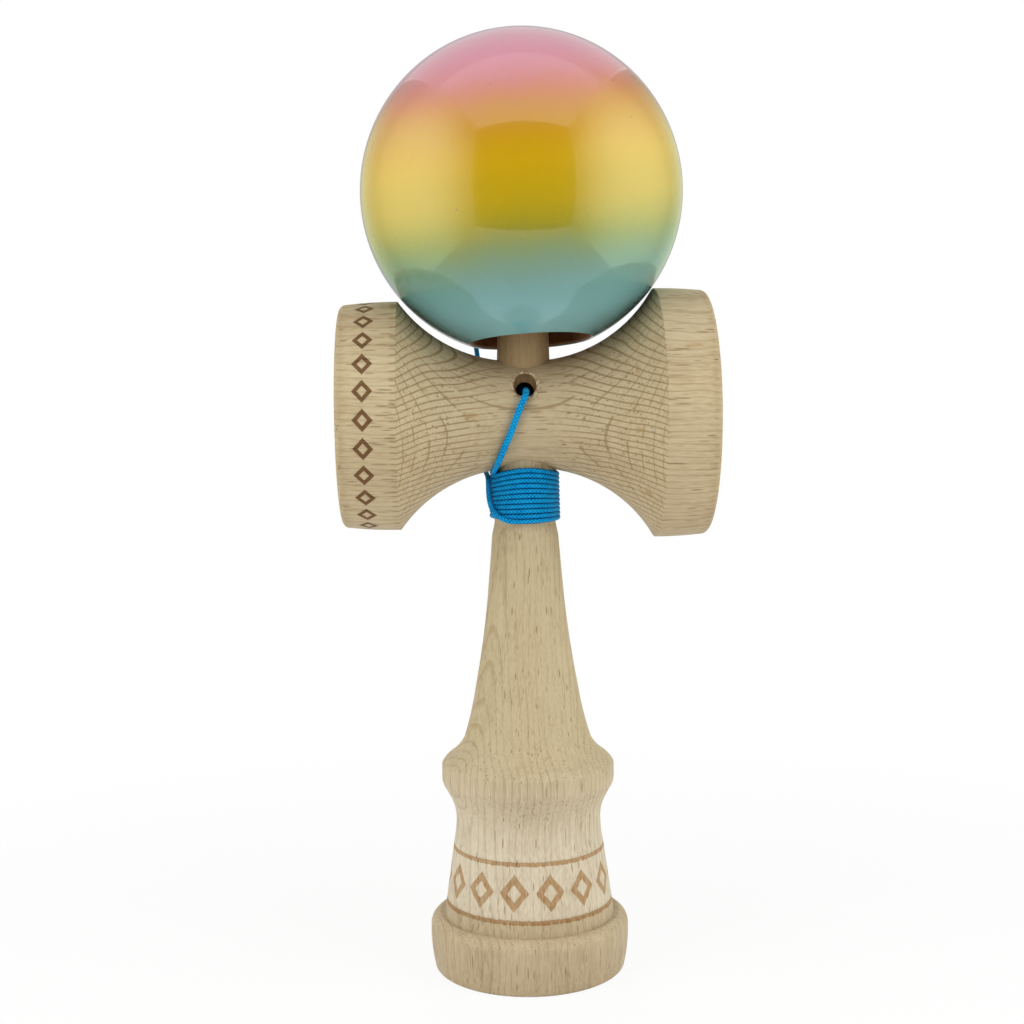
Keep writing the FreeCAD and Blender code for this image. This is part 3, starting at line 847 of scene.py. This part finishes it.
# The bead is a small turned wooden bead that the string's end goes through, inside the ball.
# It is bare and browner than the beech, and it keeps the knot from slipping out at the top.
BEAD_PALE = (0.5, 0.36, 0.22, 1)
BEAD_DARK = (0.33, 0.21, 0.11, 1)
BEAD_DEPTH = 0.00002

bead_wood, tree, shader, where = finish_for("bead_wood")
here = where.outputs["Object"]
colour, height = beech(
    tree, here, rings=0.5, flecks=0.4, width=0.9, length=2.5, pale=BEAD_PALE, dark=BEAD_DARK
)
feed(tree, shader.inputs["Base Color"], colour)
shader.inputs["Roughness"].default_value = 0.5
relief(tree, shader, height, BEAD_DEPTH)
bead = dress("string_bead", bead_wood)

# The toy stands on a white sheet in a small photographer's tent of white cloth, lit from
# outside through its cream side walls. The lacquer shows the walls, the front of the roof and
# the dim opening that the camera looks in by.
TENT_HALF = 0.175
TENT_FRONT = -0.26
TENT_BACK = 0.40
TENT_TOP = 0.375
WALL_TOP = TENT_TOP - 0.006
ROOF_HALF = TENT_HALF - 0.004
ROOF_BACK = 0.03
WALL_SEAM = 0.09
WALL_BRIGHTEST = -0.07
TENT_CREAM = (0.88, 1, 0.7, 1)
WORLD_STRENGTH = 0.37
WALL_LAMP_COLOUR = (1, 0.98, 0.89)
# Each lamp's place, its sides, the way that it faces, its strength and its colour.
TENT_LAMPS = {
    "left_wall_lamp": ((-0.175, -0.15, 0.185), (0.22, 0.33), (1, 0, 0), 1.75, WALL_LAMP_COLOUR),
    "right_wall_lamp": ((0.175, -0.15, 0.185), (0.22, 0.33), (-1, 0, 0), 1.82, WALL_LAMP_COLOUR),
    "roof_lamp": ((0, -0.12, 0.37), (0.33, 0.27), (0, 0, -1), 1.0, (1, 1, 1)),
    "back_wall_lamp": ((0, 0.36, 0.19), (0.33, 0.33), (0, -1, 0), 1.5, (1, 1, 1)),
}


def panel(name, place, sides, aim, strength, colour):
    """A soft lamp with an even glow of that strength, where 1 is white."""
    light = bpy.data.lights.new(name, "AREA")
    light.shape = "RECTANGLE"
    light.size, light.size_y = sides
    light.energy = strength * 4 * sides[0] * sides[1]
    light.color = colour
    lamp = bpy.data.objects.new(name, light)
    bpy.context.collection.objects.link(lamp)
    lamp.location = place
    lamp.rotation_mode = "QUATERNION"
    lamp.rotation_quaternion = Vector(aim).to_track_quat("-Z", "Y")
    lamp.visible_camera = False
    lamp.visible_glossy = False


for name, given in TENT_LAMPS.items():
    panel(name, *given)


def sheet_of(name, half):
    """A square sheet at the origin, level and face up."""
    mesh = bpy.data.meshes.new(name)
    shape = bmesh.new()
    bmesh.ops.create_grid(shape, x_segments=1, y_segments=1, size=half)
    shape.to_mesh(mesh)
    shape.free()
    piece = bpy.data.objects.new(name, mesh)
    bpy.context.collection.objects.link(piece)
    return piece


def seen(tree):
    """Where a ray comes from the camera, or by what shines or is clear."""
    path = tree.nodes.new("ShaderNodeLightPath").outputs
    straight = sums(tree, "MAXIMUM", path["Is Camera Ray"], path["Is Glossy Ray"])
    return sums(tree, "MAXIMUM", straight, path["Is Transmission Ray"])


floor = sheet_of("floor", 3.0)
paper, tree, shader, where = finish_for("white_sheet")
here = where.outputs["Object"]
fibres = clouds(tree, here, (400, 400, 400), 3)[0]
pulp = tint(tree, fibres, (0.86, 0.86, 0.86, 1), (0.9, 0.9, 0.9, 1))
feed(tree, shader.inputs["Base Color"], pulp)
shader.inputs["Roughness"].default_value = 0.8
shader.inputs["Specular IOR Level"].default_value = 0
# It is plain white to the camera and in what shines, but for a soft shade round the toy.
white = tree.nodes.new("ShaderNodeEmission")
mix = tree.nodes.new("ShaderNodeMixShader")
far = span(tree, length_from_origin(tree, here), 0.05, 0.2, 0.9, 1.0)
tree.links.new(times(tree, seen(tree), far), mix.inputs[0])
tree.links.new(shader.outputs[0], mix.inputs[1])
tree.links.new(white.outputs[0], mix.inputs[2])
tree.links.new(mix.outputs[0], tree.nodes["Material Output"].inputs["Surface"])
floor.data.materials.append(paper)


def tent_cloth(name, size, place, glow, turn=Matrix(), colour=(1, 1, 1, 1)):
    """A sheet of the tent of this size, turned and put in place, that only shows in what
    shines. Its glow is a value, or a function of the tree and the place in metres."""
    sheet = sheet_of(name, 0.5)
    sheet.data.transform(Matrix.Translation(place) @ Matrix.Diagonal((*size, 1)) @ turn)
    cloth, tree, shader, where = finish_for(name)
    tree.nodes.remove(shader)
    shine = tree.nodes.new("ShaderNodeEmission")
    shine.inputs["Color"].default_value = colour
    strength = glow(tree, where.outputs["Object"]) if callable(glow) else glow
    feed(tree, shine.inputs["Strength"], strength)
    tree.links.new(shine.outputs[0], tree.nodes["Material Output"].inputs["Surface"])
    sheet.data.materials.append(cloth)
    sheet.visible_camera = False
    sheet.visible_diffuse = False
    sheet.visible_shadow = False
    return sheet


def wall_glow(strength):
    """The side walls are brightest a little in front of the toy, where the lamps outside
    stand, and dark along the seam where two widths of cloth meet."""

    def glow(tree, place):
        _, y, z = parts_of(tree, place)
        off = away(tree, y, WALL_BRIGHTEST)
        bright = span(tree, off, 0, 0.19, 1.9 * strength, 0.52 * strength, soft=True)
        seam = span(tree, away(tree, y, WALL_SEAM), 0.001, 0.004, 0.75, 1)
        high = span(tree, z, 0.22, 0.35, 1, 0.5, soft=True)
        low = span(tree, z, 0.02, 0.12, 0.8, 1, soft=True)
        return times(tree, bright, seam, high, low)

    return glow


upright = Matrix.Rotation(math.radians(90), 4, "X")
sideways = Matrix.Rotation(math.radians(90), 4, "Y")
depth = TENT_BACK - TENT_FRONT
for side, way, strength in (("left", -1, 1.5), ("right", 1, 1.55)):
    tent_cloth(
        f"{side}_wall",
        (1, depth, WALL_TOP),
        (way * TENT_HALF, (TENT_FRONT + TENT_BACK) / 2, WALL_TOP / 2),
        wall_glow(strength),
        sideways,
        TENT_CREAM,
    )
roof_size = (2 * ROOF_HALF, ROOF_BACK - TENT_FRONT, 1)
tent_cloth("roof", roof_size, (0, (ROOF_BACK + TENT_FRONT) / 2, TENT_TOP), 1.15)
roof_size = (2 * TENT_HALF, TENT_BACK - ROOF_BACK, 1)
tent_cloth("roof_behind", roof_size, (0, (ROOF_BACK + TENT_BACK) / 2, TENT_TOP), 0.7)
end_size = (2 * TENT_HALF, 1, TENT_TOP)
end_middle = TENT_TOP / 2
tent_cloth("back_wall", end_size, (0, TENT_BACK, end_middle), 0.5, upright)
opening = tent_cloth("tent_opening", end_size, (0, TENT_FRONT, end_middle), 0.02, upright)
# Unlike the cloth, the opening also keeps out the light from in front.
opening.visible_diffuse = True
opening.visible_shadow = True

# All round the tent it is white: dim as a light, and plain white where it is seen.
world = bpy.data.worlds.new("tent")
bpy.context.scene.world = world
world.use_nodes = True
tree = world.node_tree
background = tree.nodes["Background"]
background.inputs["Color"].default_value = (1, 1, 1, 1)
feed(tree, background.inputs["Strength"], span(tree, seen(tree), 0, 1, WORLD_STRENGTH, 1.0))
bpy.context.scene.view_settings.view_transform = "Standard"
